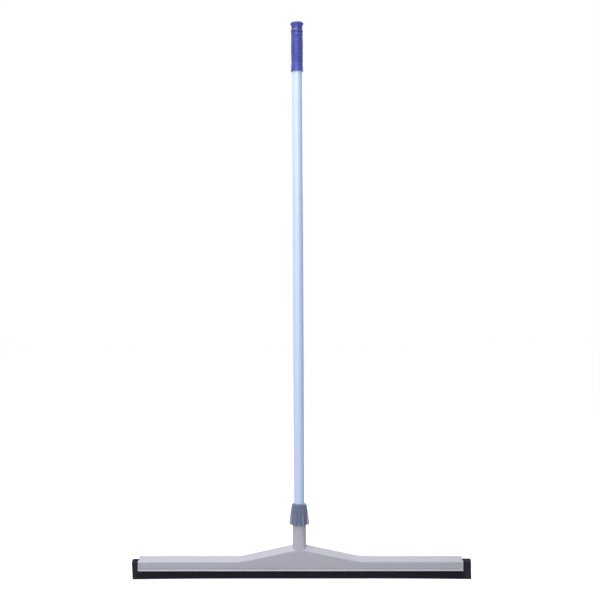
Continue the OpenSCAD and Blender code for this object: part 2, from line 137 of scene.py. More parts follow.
def copy_of_node(name):
    """A merged copy of a CAD node's mesh, with its flat faces whole again."""
    bm = bmesh.new()
    bm.from_mesh(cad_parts[name].data)
    bmesh.ops.remove_doubles(bm, verts=bm.verts, dist=merge_gap)
    bmesh.ops.dissolve_limit(bm, angle_limit=math.radians(flat_angle), verts=bm.verts, edges=bm.edges)
    return bm


def place(name, bm, material, body, node, smooth_angle=32):
    """Turns a finished bmesh into a piece that rides on a body and, where node is given, stands for it."""
    mesh = bpy.data.meshes.new(name)
    bm.to_mesh(mesh)
    bm.free()
    mesh.shade_smooth()
    mesh.set_sharp_from_angle(angle=math.radians(smooth_angle))
    mesh.materials.clear()
    mesh.materials.append(material)
    piece = bpy.data.objects.new(name, mesh)
    bpy.context.scene.collection.objects.link(piece)
    # Large flat faces keep their own normal, so that only the roundings between them shade softly
    even = piece.modifiers.new("even_shading", "WEIGHTED_NORMAL")
    even.keep_sharp = True
    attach(piece, body)
    if node:
        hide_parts(node)
    return piece


def faces_out(face):
    """True on the skin of the moulding, and not inside its slot or hollow."""
    n, c = face.normal, face.calc_center_median()
    if abs(n.y) > least_lean:
        return n.y * c.y > 0
    return n.z > least_lean or n.x * c.x > 0 or c.z < mouth_z + rim_skin


def edges_of_skin(bm, least_angle, clear_of):
    """The long outer edges of the moulding that turn by more than an angle, clear of the socket."""
    return [
        e for e in bm.edges
        if len(e.link_faces) == 2 and e.calc_length() > shortest_edge
        and e.calc_face_angle() > math.radians(least_angle) and all(faces_out(f) for f in e.link_faces)
        and (all(abs(v.co.x) > clear_of for v in e.verts) or all(v.co.z < mouth_z + rim_h for v in e.verts))]


def rounded(bm, edges, radius, steps=3):
    """Rounds edges of a bmesh off to a radius."""
    bmesh.ops.bevel(bm, geom=edges, offset=radius, offset_type="OFFSET", segments=steps, profile=0.5,
                    affect="EDGES", clamp_overlap=False)


def loft(rings, closed=False):
    """A bmesh skinned over rings of points in millimetres; open ends are closed by a flat cap."""
    bm = bmesh.new()
    loops = [[bm.verts.new((x * mm, y * mm, z * mm)) for x, y, z in ring] for ring in rings]
    pairs = list(zip(loops, loops[1:] + loops[:1])) if closed else list(zip(loops, loops[1:]))
    for one, two in pairs:
        for i in range(len(one)):
            j = (i + 1) % len(one)
            bm.faces.new((one[i], one[j], two[j], two[i]))
    if not closed:
        bm.faces.new(loops[0][::-1])
        bm.faces.new(loops[-1])
    bmesh.ops.recalc_face_normals(bm, faces=bm.faces)
    return bm


def socket_ring(z, sides=144):
    """The socket's outline at a height: round under the collar, squarer and deeper towards its root."""
    share = min(1, (socket_top - z) / (socket_top - root_z)) ** root_curve
    slope = math.tan(math.radians(socket_draft))
    wide = socket_r + (socket_top - z) * slope
    deep = wide + (root_half - socket_r - (socket_top - root_z) * slope) * share
    ring = []
    for k in range(sides):
        c, s = math.cos(2 * math.pi * k / sides), math.sin(2 * math.pi * k / sides)
        ring.append((math.copysign(wide * abs(c) ** (2 / (2 + wide_square * share)), c),
                     math.copysign(deep * abs(s) ** (2 / (2 + deep_square * share)), s), z))
    return ring


def round_ring(radius, z, sides=96):
    """A circle about the pole's axis at a height."""
    return [(radius * math.cos(2 * math.pi * k / sides), radius * math.sin(2 * math.pi * k / sides), z)
            for k in range(sides)]


def as_object(bm):
    """A bmesh as an object for a modifier to work on."""
    mesh = bpy.data.meshes.new("blank")
    bm.to_mesh(mesh)
    bm.free()
    blank = bpy.data.objects.new("blank", mesh)
    bpy.context.scene.collection.objects.link(blank)
    return blank


def joined(one, two, way="UNION"):
    """Two closed bmeshes as one skin, or, with DIFFERENCE, the second one cut out of the first."""
    body, tool = as_object(one), as_object(two)
    join = body.modifiers.new("join", "BOOLEAN")
    join.operation = way
    join.solver = "EXACT"
    join.object = tool
    plain = bpy.data.meshes.new_from_object(body.evaluated_get(bpy.context.evaluated_depsgraph_get()))
    bm = bmesh.new()
    bm.from_mesh(plain)
    for blank in (body, tool):
        mesh = blank.data
        bpy.data.objects.remove(blank)
        bpy.data.meshes.remove(mesh)
    bpy.data.meshes.remove(plain)
    return bm


def ease(t):
    """A smooth step from 0 to 1."""
    t = min(1, max(0, t))
    return t * t * (3 - 2 * t)


def off_centre(bm):
    """Slides the two arms of the head to the right of the pole, as they were moulded."""
    for v in bm.verts:
        v.co.x += head_shift * ease((abs(v.co.x) - shift_from) / shift_run)
    return bm


shell = copy_of_node("frame_shell")
# A shallow groove runs along the foot of each face, over the rim. The eaves are a little higher than the
# CAD model's, and the roof runs out almost to the end bands.
bmesh.ops.bisect_plane(shell, geom=shell.verts[:] + shell.edges[:] + shell.faces[:], dist=0.0001 * mm,
                       plane_co=(0, 0, mouth_z + groove_top), plane_no=(0, 0, 1))
for v in shell.verts:
    along, across, up = abs(v.co.x), abs(v.co.y), v.co.z - mouth_z
    if abs(across - face_y) < near and abs(up - crease_h) < near:
        v.co.z = mouth_z + groove_low
        v.co.y -= math.copysign(groove_depth, v.co.y)
    elif along > arms_from and (across > eave_y and up > eave_h or across > eave_top_y and up > eave_top_h):
        v.co.z += eave_lift
    if abs(along - cad_roof_end) < near and v.co.z - mouth_z > roof_h:
        v.co.x = math.copysign(roof_end, v.co.x)
ridge = [e for e in edges_of_skin(shell, ridge_turn, ridge_clear)
         if all(v.co.z > mouth_z + ridge_low and abs(v.co.y) < ridge_half for v in e.verts)
         and abs(e.verts[0].co.x - e.verts[1].co.x) > ridge_run]
rounded(shell, ridge, ridge_radius)
rounded(shell, edges_of_skin(shell, edge_turn, gable_clear), edge_radius)
socket_heights = [root_z - sunk for sunk in root_sunk] + [root_z + root_step * k for k in range(root_steps)]
socket_heights += list(np.linspace(plain_from, socket_top, plain_steps))
shell = joined(off_centre(shell), loft([socket_ring(z) for z in socket_heights]))
# The root fills the socket, so its bore is opened again
bore = loft([round_ring(socket_bore, z) for z in (socket_floor, spigot_top + cut_past)])
shell = joined(shell, bore, "DIFFERENCE")

# Injection-moulded polypropylene: satin, a little waxy, with faint flow clouds and a fine tool grain.
frame_plastic, tree, shader, place_at = start_material("Moulded polypropylene, light grey", 0.42, ior=1.49)
flow_size = 70 * mm
grain_size = 0.9 * mm
flow = add(tree, "ShaderNodeTexNoise", {"Vector": place_at, "Scale": 1 / flow_size, "Detail": 3})
tone = add(tree, "ShaderNodeMix", {0: flow.outputs["Fac"], 6: linear("#B1B2BD"), 7: linear("#B8B9C3")},
           data_type="RGBA")
tree.links.new(tone.outputs[2], shader.inputs["Base Color"])
grain = add(tree, "ShaderNodeTexNoise", {"Vector": place_at, "Scale": 1 / grain_size, "Detail": 2})
bump = add(tree, "ShaderNodeBump", {"Height": grain.outputs["Fac"], "Strength": 0.12, "Distance": 0.1 * mm})
tree.links.new(bump.outputs["Normal"], shader.inputs["Normal"])
satin = add(tree, "ShaderNodeMapRange", {"Value": flow.outputs["Fac"], "To Min": 0.38, "To Max": 0.48})
tree.links.new(satin.outputs["Result"], shader.inputs["Roughness"])
place("frame_moulding", shell, frame_plastic, "head", "frame_shell")

# Foam strips
# Two strips of black closed-cell foam rubber, sliced from sheet, cut to length and pushed in by hand, so
# that the left end is a little askew and both sit a little to the right. They swell where the frame lets
# go of them, and sag towards their ends.
strip_t = 10
strip_edge = 0.9
strip_end_edge = 0.8
foot_edge = 0.5
end_swell = 1.5
end_sag = 1.7
sag_from = 150
grip_end = 2
strip_trim = 0.5
rear_spare = 2.0
strip_shift = 3.6
left_end_skew = 1.8
skew_run = 30
barb_heights = (25.6, 30.6)
barb_dent = 0.75
barb_spread = 1.1
bulge = 0.35
bulge_h = 14.6
bulge_spread = 2.4
wave_out = 0.22
wave_long = 45
wave_high = 14
wave_apart = 7.3
wave_fade = 1.6
foam_step = 3.5
section_step = 1.5


def eased(corners, steps=4):
    """An outline from corners (across, up, radius), each rounded by an arc of that radius."""
    points = []
    for i, (x, y, radius) in enumerate(corners):
        here = Vector((x, y))
        before = Vector(corners[i - 1][:2]) - here
        after = Vector(corners[(i + 1) % len(corners)][:2]) - here
        if radius == 0:
            points.append(tuple(here))
            continue
        half = before.angle(after) / 2
        reach = radius / math.tan(half)
        a = here + before.normalized() * reach
        b = here + after.normalized() * reach
        middle = here + (before.normalized() + after.normalized()).normalized() * radius / math.sin(half)
        turn = (a - middle).angle_signed(b - middle)
        for k in range(steps + 1):
            arm = a - middle
            angle = -turn * k / steps
            points.append((middle.x + arm.x * math.cos(angle) - arm.y * math.sin(angle),
                           middle.y + arm.x * math.sin(angle) + arm.y * math.cos(angle)))
    return points


def with_steps(outline, step):
    """The same outline with extra points, so that no stretch is longer than step."""
    points = []
    for (x0, y0), (x1, y1) in zip(outline, outline[1:] + outline[:1]):
        n = max(1, math.ceil(math.hypot(x1 - x0, y1 - y0) / step))
        points += [(x0 + (x1 - x0) * k / n, y0 + (y1 - y0) * k / n) for k in range(n)]
    return points


def foam_strip(side):
    """One strip: side is -1 at the front and 1 at the rear."""
    low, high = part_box("blade_front" if side < 0 else "blade_rear")
    half = high.x / mm - strip_trim + (rear_spare if side > 0 else 0)
    inner = min(abs(low.y), abs(high.y)) / mm
    height = high.z / mm
    inside = frame_high.x / mm - grip_end
    corners = ((0, 0), (strip_t, 0), (strip_t, height), (0, height))
    section = with_steps(eased([(across, up, strip_edge) for across, up in corners]), section_step)
    end_arc = [strip_edge * (1 - math.cos(math.radians(a))) for a in (0, 30, 60, 90)]
    stations = [-half + d for d in end_arc[:-1]]
    count = round(2 * (half - strip_edge) / foam_step)
    stations += list(np.linspace(-half + strip_edge, half - strip_edge, count))
    stations += [-x for x in reversed(stations[:len(stations) - count])]
    rings = []
    for x in stations:
        # Pinch and drop round the strip's end off, and held is 1 as far as the frame grips the strip
        to_end = half - abs(x)
        pinch = strip_edge - math.sqrt(max(0, strip_edge ** 2 - max(0, strip_edge - to_end) ** 2))
        shoulder = max(0, strip_end_edge - to_end)
        drop = strip_end_edge - math.sqrt(max(0, strip_end_edge ** 2 - shoulder ** 2))
        held = min(1, max(0, inside - abs(x + strip_shift - head_shift / mm)))
        sag = end_sag * max(0, (abs(x) - sag_from) / (half - sag_from)) ** 2
        ring = []
        for across, up in section:
            # Only the outer face is dented by the barbs, bulges under the rim and waves a little
            share = up / height
            face = max(0, across / strip_t * 2 - 1)
            dent = sum(barb_dent * math.exp(-((up - b) / barb_spread) ** 2) for b in barb_heights) * held
            swell = bulge * math.exp(-((up - bulge_h) / bulge_spread) ** 2) * held
            fade = math.sin(math.pi * min(1, share * wave_fade))
            wave = wave_out * noise.noise((x / wave_long, up / wave_high, side * wave_apart)) * fade
            y = across + face * (swell - dent + wave)
            y = pinch + y * (strip_t - 2 * pinch) / strip_t
            z = up * (height - drop + end_swell * (1 - held)) / height
            z = (max(z, pinch) if up > foot_edge else z + pinch) - sag * (1 - share)
            skew = left_end_skew * (1 - share) * max(0, 1 - to_end / skew_run) if x < 0 else 0
            ring.append((x + skew + strip_shift, side * (inner + y), z))
        rings.append(ring)
    return loft(rings)


# Closed-cell foam rubber: dead matt, with the cut cells showing as a fine pitted grain. The cells are
# drawn twice as large as real ones, so that they show in the render.
foam_rubber, tree, shader, place_at = start_material("Closed-cell foam rubber, black", 0.9, ior=1.45)
shader.inputs["Specular IOR Level"].default_value = 0.06
cell_size = 1.6 * mm
cloud_size = 35 * mm
end_light_from = 352 * mm
end_light_full = 368 * mm
cells = add(tree, "ShaderNodeTexVoronoi", {"Vector": place_at, "Scale": 1 / cell_size, "Randomness": 1.0},
            feature="F1")
cloud = add(tree, "ShaderNodeTexNoise", {"Vector": place_at, "Scale": 1 / cloud_size, "Detail": 4})
pits = add(tree, "ShaderNodeMapRange", {"Value": cells.outputs["Distance"], "From Min": 0.1, "From Max": 0.8})
skin_tone = add(tree, "ShaderNodeMix", {0: cloud.outputs["Fac"], 6: linear("#2E2E37"), 7: linear("#363640")},
                data_type="RGBA")
# Painted shade: the sunk pits between the cells are painted darker
pit_shade = add(tree, "ShaderNodeMix",
                {0: pits.outputs["Result"], 6: skin_tone.outputs[2], 7: linear("#202026")}, data_type="RGBA")
# The free ends are painted paler than the length that the frame covers: painted light from the sides on the
# ends that stand out of it
from_middle = add(tree, "ShaderNodeMath", {0: add(tree, "ShaderNodeSeparateXYZ", {0: place_at}).outputs["X"]},
                  operation="ABSOLUTE")
end_light = add(tree, "ShaderNodeMapRange",
           {"Value": from_middle.outputs[0], "From Min": end_light_from, "From Max": end_light_full},
           interpolation_type="SMOOTHSTEP")
lit_ends = add(tree, "ShaderNodeMix", {0: end_light.outputs["Result"], 6: pit_shade.outputs[2], 7: linear("#323239")},
            data_type="RGBA")
tree.links.new(lit_ends.outputs[2], shader.inputs["Base Color"])
bump = add(tree, "ShaderNodeBump", {"Height": pits.outputs["Result"], "Strength": 0.5, "Distance": 0.25 * mm},
           invert=True)
tree.links.new(bump.outputs["Normal"], shader.inputs["Normal"])
for side, node in ((-1, "blade_front"), (1, "blade_rear")):
    strip = place(node + "_foam", foam_strip(side), foam_rubber, "head", node, smooth_angle=50)

# Core bar
# A grey bar of reground polypropylene between the strips. Its screws pull it up against the frame,
# which wedges the foam outwards onto the barbs.
core_trim = 1.8 * mm
left_end_x = -340 * mm
end_face_x = 368 * mm
long_edge = 100 * mm
core_radius = 0.3 * mm
notch_from = 351
notch_h = 7
notch_half = 20
core = copy_of_node("blade_core_bar")
for v in core.verts:
    if v.co.x < left_end_x:
        v.co.x += core_trim
# Its two ends are cut down where they leave the frame, so that the foam hides them
core_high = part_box("blade_core_bar")[1] / mm
notch_to = core_high.x + cut_past
for side in (-1, 1):
    corners = [(side * x, y) for x, y in (
        (notch_from, -notch_half), (notch_to, -notch_half), (notch_to, notch_half), (notch_from, notch_half))]
    notch = loft([[(x, y, z) for x, y in corners] for z in (core_high.z - notch_h, core_high.z + cut_past)])
    core = joined(core, notch, "DIFFERENCE")
core_edges = [e for e in core.edges
              if e.calc_length() > long_edge or all(abs(v.co.x) > end_face_x for v in e.verts)]
rounded(core, core_edges, core_radius, steps=2)
bmesh.ops.remove_doubles(core, verts=core.verts, dist=merge_gap)

# Reground polypropylene: dull grey, with darker and lighter flecks of the old plastics in it.
core_plastic, tree, shader, place_at = start_material("Reground polypropylene, grey", 0.5, ior=1.49)
fleck_size = 2.5 * mm
flecks = add(tree, "ShaderNodeTexNoise", {"Vector": place_at, "Scale": 1 / fleck_size, "Detail": 5})
fleck_ramp = add(tree, "ShaderNodeValToRGB", {"Fac": flecks.outputs["Fac"]})
fleck_ramp.color_ramp.elements[0].position = 0.35
fleck_ramp.color_ramp.elements[0].color = linear("#7B7D81")
fleck_ramp.color_ramp.elements[1].position = 0.68
fleck_ramp.color_ramp.elements[1].color = linear("#989A9F")
tree.links.new(fleck_ramp.outputs["Color"], shader.inputs["Base Color"])
bump = add(tree, "ShaderNodeBump", {"Height": flecks.outputs["Fac"], "Strength": 0.15, "Distance": 0.1 * mm})
tree.links.new(bump.outputs["Normal"], shader.inputs["Normal"])
place("core_bar", off_centre(core), core_plastic, "head", "blade_core_bar")

# Core screws
# Six zinc-plated pan-head screws with a cross recess, driven up through the core bar into the bosses
# under the roof. Only their heads show, sunk in the underside of the bar.
screw_low, screw_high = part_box("core_screws")
head_z = screw_low.z / mm
tip_z = screw_high.z / mm
head_r = 3.0
head_t = 2.2
head_taper = 0.25
shank_r = 1.4
screw_pitch = 120
screw_count = 6
recess_arm = 1.55
recess_w = 0.42
recess_depth = 1.2
recess_taper = 0.7
thread_pitch = 1.1
thread_depth = 0.3
thread_from = 0.6
tip_length = 2.4
tip_r = 0.5
weld_gap = 0.01 * mm


def turned(outline, sides=96, closed=True):
    """A bmesh turned about the pole's axis from (radius, height) points; a point on the axis is a pole."""
    bm = bmesh.new()
    angles = [2 * math.pi * k / sides for k in range(sides)]
    rings = []
    for r, z in outline:
        around = angles if r > 1e-6 else angles[:1]
        rings.append([bm.verts.new((r * math.cos(a) * mm, r * math.sin(a) * mm, z * mm)) for a in around])
    pairs = list(zip(rings, rings[1:]))
    if closed:
        pairs.append((rings[-1], rings[0]))
    for one, two in pairs:
        for k in range(sides):
            corners = [one[k % len(one)], one[(k + 1) % sides % len(one)],
                       two[(k + 1) % sides % len(two)], two[k % len(two)]]
            corners = [c for i, c in enumerate(corners) if c not in corners[:i]]
            if len(corners) > 2:
                bm.faces.new(corners)
    bmesh.ops.recalc_face_normals(bm, faces=bm.faces)
    return bm


# One tree repeats a piece along a step and about the pole's axis, and welds what then touches
repeat = bpy.data.node_groups.new("Repeated piece", "GeometryNodeTree")
for label, kind in (("Piece", "Geometry"), ("Count", "Int"), ("Step", "Vector"), ("Turn", "Float"),
                    ("Weld", "Float"), ("Finish", "Material")):
    repeat.interface.new_socket(label, in_out="INPUT", socket_type="NodeSocket" + kind)
repeat.interface.new_socket("Pieces", in_out="OUTPUT", socket_type="NodeSocketGeometry")
given = add(repeat, "NodeGroupInput").outputs
places = add(repeat, "GeometryNodeMeshLine", {"Count": given["Count"], "Offset": given["Step"]},
             mode="OFFSET")
number = add(repeat, "GeometryNodeInputIndex")
angle = add(repeat, "ShaderNodeMath", {0: number.outputs[0], 1: given["Turn"]}, operation="MULTIPLY")
turn = add(repeat, "FunctionNodeAxisAngleToRotation", {"Axis": (0, 0, 1), "Angle": angle.outputs[0]})
copies = add(repeat, "GeometryNodeInstanceOnPoints",
             {"Points": places.outputs["Mesh"], "Instance": given["Piece"],
              "Rotation": turn.outputs["Rotation"]})
real = add(repeat, "GeometryNodeRealizeInstances", {"Geometry": copies.outputs["Instances"]})
welded = add(repeat, "GeometryNodeMergeByDistance",
             {"Geometry": real.outputs["Geometry"], "Distance": given["Weld"]})
finished = add(repeat, "GeometryNodeSetMaterial",
               {"Geometry": welded.outputs["Geometry"], "Material": given["Finish"]})
add(repeat, "NodeGroupOutput", {"Pieces": finished.outputs["Geometry"]})


def repeated(one, count, finish, step=(0, 0, 0), turn=0.0):
    """A bmesh of count copies of one, each a step (mm) and a turn (degrees) on from the last."""
    mesh = bpy.data.meshes.new("one_piece")
    one.to_mesh(mesh)
    one.free()
    holder = bpy.data.objects.new("one_piece", mesh)
    bpy.context.scene.collection.objects.link(holder)
    modifier = holder.modifiers.new("repeat", "NODES")
    modifier.node_group = repeat
    socket = {item.name: item.identifier for item in repeat.interface.items_tree if item.in_out == "INPUT"}
    modifier[socket["Count"]] = count
    modifier[socket["Step"]] = [s * mm for s in step]
    modifier[socket["Turn"]] = math.radians(turn)
    modifier[socket["Weld"]] = weld_gap
    modifier[socket["Finish"]] = finish
    plain = bpy.data.meshes.new_from_object(holder.evaluated_get(bpy.context.evaluated_depsgraph_get()))
    bm = bmesh.new()
    bm.from_mesh(plain)
    bpy.data.objects.remove(holder)
    bpy.data.meshes.remove(mesh)
    bpy.data.meshes.remove(plain)
    bmesh.ops.recalc_face_normals(bm, faces=bm.faces)
    return bm


threads = []
z = head_z + head_t + thread_from
while z < tip_z - tip_length:
    threads += [(shank_r - thread_depth, z, 0), (shank_r, z + 0.4 * thread_pitch, 0),
                (shank_r, z + 0.6 * thread_pitch, 0)]
    z += thread_pitch
screw_line = [(0.02, head_z + 0.001, 0), (head_r - head_taper, head_z, 0.9), (head_r, head_z + head_t, 0.2),
              (shank_r, head_z + head_t, 0.2)] + threads + [(tip_r, tip_z, 0.1), (0, tip_z, 0)]
screw = turned(eased(screw_line), sides=48, closed=False)
# The cross recess: a pit of four arms, cut into the flat of the head
flat = [v for v in screw.verts if v.co.z < (head_z + 0.01) * mm]
flat_edge = max(v.co.xy.length for v in flat)
bmesh.ops.delete(screw, geom=[v for v in flat if v.co.xy.length < flat_edge - 1e-6], context="VERTS")
rim = [e for e in screw.edges if e.is_boundary]
arm, wide = recess_arm, recess_w
cross = [(wide, -arm), (wide, -wide), (arm, -wide), (arm, wide), (wide, wide), (wide, arm),
         (-wide, arm), (-wide, wide), (-arm, wide), (-arm, -wide), (-wide, -wide), (-wide, -arm)]
brim = [screw.verts.new((x * mm, y * mm, head_z * mm)) for x, y in cross]
pit = [screw.verts.new((x * recess_taper * mm, y * recess_taper * mm, (head_z + recess_depth) * mm))
       for x, y in cross]
brim_edges = [screw.edges.new(pair) for pair in zip(brim, brim[1:] + brim[:1])]
for one, two, two_low, one_low in zip(brim, brim[1:] + brim[:1], pit[1:] + pit[:1], pit):
    screw.faces.new((one, two, two_low, one_low))
screw.faces.new(pit)
bmesh.ops.triangle_fill(screw, edges=rim + brim_edges, use_beauty=True)
bmesh.ops.translate(screw, verts=screw.verts, vec=((screw_low.x / mm + head_r) * mm, 0, 0))

# Zinc-plated steel: bright and cool, with a faint yellow-green bloom from the passivation.
zinc, tree, shader, place_at = start_material("Zinc-plated steel", 0.3, metallic=1.0)
bloom_size = 2.2 * mm
bloom = add(tree, "ShaderNodeTexNoise", {"Vector": place_at, "Scale": 1 / bloom_size, "Detail": 4})
tint = add(tree, "ShaderNodeMix", {0: bloom.outputs["Fac"], 6: linear("#C3C7CE"), 7: linear("#CFCDBE")},
           data_type="RGBA")
tree.links.new(tint.outputs[2], shader.inputs["Base Color"])
polish = add(tree, "ShaderNodeMapRange", {"Value": bloom.outputs["Fac"], "To Min": 0.22, "To Max": 0.42})
tree.links.new(polish.outputs["Result"], shader.inputs["Roughness"])
screws = repeated(screw, screw_count, zinc, step=(screw_pitch, 0, 0))
place("pan_head_screws", off_centre(screws), zinc, "head", "core_screws")

# Spigot thread
# A coarse thread round the top of the socket, moulded in one with the head frame. The collar runs up and
# down on it, and the start of the thread shows when the collar is screwed up.
spigot_r = 14.395
ridge_out = 0.22
ridge_sunk = 0.1
ridge_w = 1.7
lead = 4.0
thread_low = 121.0
thread_turns = 6
segment = 10
section = [(-ridge_w / 2, -ridge_sunk), (-ridge_w / 4, ridge_out),
           (ridge_w / 4, ridge_out), (ridge_w / 2, -ridge_sunk)]
ridge_piece = bmesh.new()
ends = []
for a in (-segment / 2, segment / 2):
    x, y = math.cos(math.radians(a)), math.sin(math.radians(a))
    ends.append([ridge_piece.verts.new(((spigot_r + out) * x * mm, (spigot_r + out) * y * mm,
                                        (thread_low + up + lead * a / 360) * mm)) for up, out in section])
for i in range(len(section)):
    j = (i + 1) % len(section)
    ridge_piece.faces.new((ends[0][i], ends[0][j], ends[1][j], ends[1][i]))
segments = round(thread_turns * 360 / segment)
thread = repeated(ridge_piece, segments, frame_plastic, step=(0, 0, lead * segment / 360), turn=segment)
bmesh.ops.holes_fill(thread, edges=[e for e in thread.edges if e.is_boundary], sides=len(section))
bmesh.ops.recalc_face_normals(thread, faces=thread.faces)
place("spigot_thread", thread, frame_plastic, "head", None)

# Clamp ring
# A split ring of natural acetal. Its long cone sits in the socket's mouth and its flange snaps behind a
# bead in the collar, which pushes it down so that the ring closes on the pole.
ring_low, ring_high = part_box("clamp_ring")
ring_z = ring_low.z / mm
ring_top = ring_high.z / mm
slit_w = 2.2
ring_bore = 11.5
cone_low_r = 12.1
cone_r = 12.84
cone_top = ring_z + 8.5
flange_r = spigot_r
flange_low = ring_z + 9.7
flange_top = ring_z + 11.5
nose_low_r = 13.695
nose_top_r = 12.585
ring_section = eased([
    (ring_bore, ring_z, 0.2), (cone_low_r, ring_z, 0.25), (cone_r, cone_top, 0.3), (cone_r, flange_low, 0.25),
    (flange_r, flange_low, 0.2), (flange_r, flange_top, 0.3), (nose_low_r, flange_top, 0.2),
    (nose_top_r, ring_top, 0.25), (ring_bore, ring_top, 0.2)], steps=3)
ring_steps = 90
rings = []
for i in range(ring_steps + 1):
    ring = []
    for r, z in ring_section:
        gap = math.asin(slit_w / 2 / r)
        a = math.pi / 2 + gap + (2 * math.pi - 2 * gap) * i / ring_steps
        ring.append((r * math.cos(a), r * math.sin(a), z))
    rings.append(ring)

# Natural acetal: milky white and slippery, with a soft gloss and slightly cloudy depth.
acetal, tree, shader, place_at = start_material("Acetal, natural white", 0.34, ior=1.48)
cloud_size = 9 * mm
cloud = add(tree, "ShaderNodeTexNoise", {"Vector": place_at, "Scale": 1 / cloud_size, "Detail": 3})
milk = add(tree, "ShaderNodeMix", {0: cloud.outputs["Fac"], 6: linear("#DEDDD6"), 7: linear("#EAE9E3")},
           data_type="RGBA")
tree.links.new(milk.outputs[2], shader.inputs["Base Color"])
satin = add(tree, "ShaderNodeMapRange", {"Value": cloud.outputs["Fac"], "To Min": 0.3, "To Max": 0.4})
tree.links.new(satin.outputs["Result"], shader.inputs["Roughness"])
place("split_clamp_ring", loft(rings), acetal, "clamp", "clamp_ring")

# Locking collar
# A slate-grey nylon nut with six finger wings that spread towards its foot, and a shallow finger panel
# between each pair. It is screwed down by hand to close the clamp ring on the pole.
collar_low, collar_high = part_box("locking_collar")
skirt = 1.3
foot_z = collar_low.z / mm - skirt
collar_h = (collar_high.z - collar_low.z) / mm + skirt
foot_r = 16.995
crown_r = 16.195
bore_r = 14.695
foot_round = 0.45
foot_round_part = 0.13
foot_groove = 0.35
foot_groove_h = 2.6
foot_groove_w = 0.4
wing_count = 6
wing_t = 2.2
wing_thinned = 0.4
wing_nose = 0.75
nose_hold = 0.12
wing_fillet = 1.0
most_round = 0.45
knee_round = (-1.6, -0.8, 0, 0.8, 1.6)
wing_line = ((0, 21.8), (8.3, 21.6), (13.3, 20.7), (23.7, 19.6), (43.9, 16.3))
panel_w = 8.4
panel_depth = 0.6
panel_low = 3.2
panel_foot = 0.8
panel_arch = 1.2
panel_slope = ((0.15, 0.2), (0.6, 0.45), (1, 0.8))
least_arch = 0.3
arch_h = collar_h - panel_w
crown_edge = 1.1
crown_rise = 1.3
crown_z = collar_h + crown_rise
hole_r = 11.8
hole_edge = 0.4
seat_top = skirt + 43.0
seat_low = skirt + 35.0
seat_low_r = 13.995
bead_r = 13.62
bead_top = skirt + 32.6
bead_low = skirt + 31.7
bore_edge = 0.4
bore_flare = 0.3


def wing_reach(h):
    """Radius of a wing's edge at a height above the foot, with the knees in its outline rounded."""
    hs, rs = zip(*wing_line)
    return float(np.mean([np.interp(h + d, hs, rs) for d in knee_round]))


def collar_row(h, inset=0.0):
    """Points round one sixth of the collar at a height, from panel middle over the wing to panel middle."""
    half_turn = math.pi / wing_count
    body = float(np.interp(h, (0, collar_h), (foot_r, crown_r))) - inset
    body -= foot_groove * math.exp(-((h - foot_groove_h) / foot_groove_w) ** 2)
    tip = max(wing_reach(h) - inset, body)
    half_t = wing_t / 2 - min(inset, wing_thinned)
    nose = min(wing_nose, most_round * (tip - body))
    fillet = min(wing_fillet, most_round * (tip - body))
    root = math.sqrt(body ** 2 - (half_t + fillet) ** 2)
    # Over the wing's nose, down its side and round the fillet to the body
    half = [(tip, 0)]
    half += [(tip - nose + nose * math.cos(a), half_t - nose + nose * math.sin(a))
             for a in (0, math.pi / 6, math.pi / 3, math.pi / 2)]
    half += [(tip - nose - nose_hold * (tip - nose - root - fillet), half_t),
             ((tip - nose + root + fillet) / 2, half_t)]
    half += [(root + fillet * (1 - math.sin(b)), half_t + fillet * (1 - math.cos(b)))
             for b in (0, math.pi / 6, math.pi / 3, math.pi / 2)]
    # Along the body to the panel's edge, down into it and on to its middle
    arch = max(least_arch, math.sqrt(max(0, (panel_w / 2) ** 2 - max(0, h - arch_h) ** 2)))
    depth = panel_depth * ease((h - panel_low) / panel_foot) * ease((arch - least_arch) / panel_arch)
    land = math.atan2(half_t + fillet, root)
    edge = half_turn - math.asin(arch / body)
    polar = [(body, land + (edge - land) * k / 4) for k in (1, 2, 3, 4)]
    polar += [(body - depth * s, edge + d * min(1, arch / 2) / body) for s, d in panel_slope]
    last = polar[-1][1]
    polar += [(body - depth, last + (half_turn - last) * k / 4) for k in (1, 2, 3, 4)]
    half += [(r * math.cos(a), r * math.sin(a)) for r, a in polar]
    return [(u, -v, foot_z + h) for u, v in reversed(half)] + [(u, v, foot_z + h) for u, v in half[1:]]


# Rows lie close together at the foot's groove and at the panels' arches, and wide apart between them
heights = [0.45, 1.2, 1.9, 2.2, 2.4, 2.6, 2.8, 3.0, 3.3, 3.6, 4.0, 4.6, 5.4, 6.2, 7.0, 7.8, 8.6, 9.6, 10.6,
           11.6, 12.6, 13.6, 15, 17, 19, 21, 22.4, 24, 26, 28, 30, 32, 34, 35.4, 36.4, 37.2, 38, 38.7, 39.3,
           39.8, 40.2, 40.6, 41.2, 41.8, 42.4, 43.2, 44.1]
rows = [collar_row(0, foot_round), collar_row(foot_round_part, foot_round_part)]
rows += [collar_row(h) for h in heights]
for degrees in (0, 18, 36, 54, 72, 90):
    a = math.radians(degrees)
    rows.append(collar_row(collar_h - crown_edge * (1 - math.sin(a)), crown_edge * (1 - math.cos(a))))
columns = len(rows[0])
inside = [(hole_r + hole_edge, crown_z), (hole_r + hole_edge / 4, crown_z - hole_edge / 4),
          (hole_r, crown_z - hole_edge), (hole_r, seat_top), (seat_low_r, seat_low), (bore_r, seat_low),
          (bore_r, bead_top), (bead_r, bead_top), (bead_r, bead_low), (bore_r, bead_low),
          (bore_r, bore_edge), (bore_r + bore_flare, 0)]
for r, h in inside:
    angles = [math.pi / wing_count * (2 * k / (columns - 1) - 1) for k in range(columns)]
    rows.append([(r * math.cos(a), r * math.sin(a), foot_z + h) for a in angles])
sector = bmesh.new()
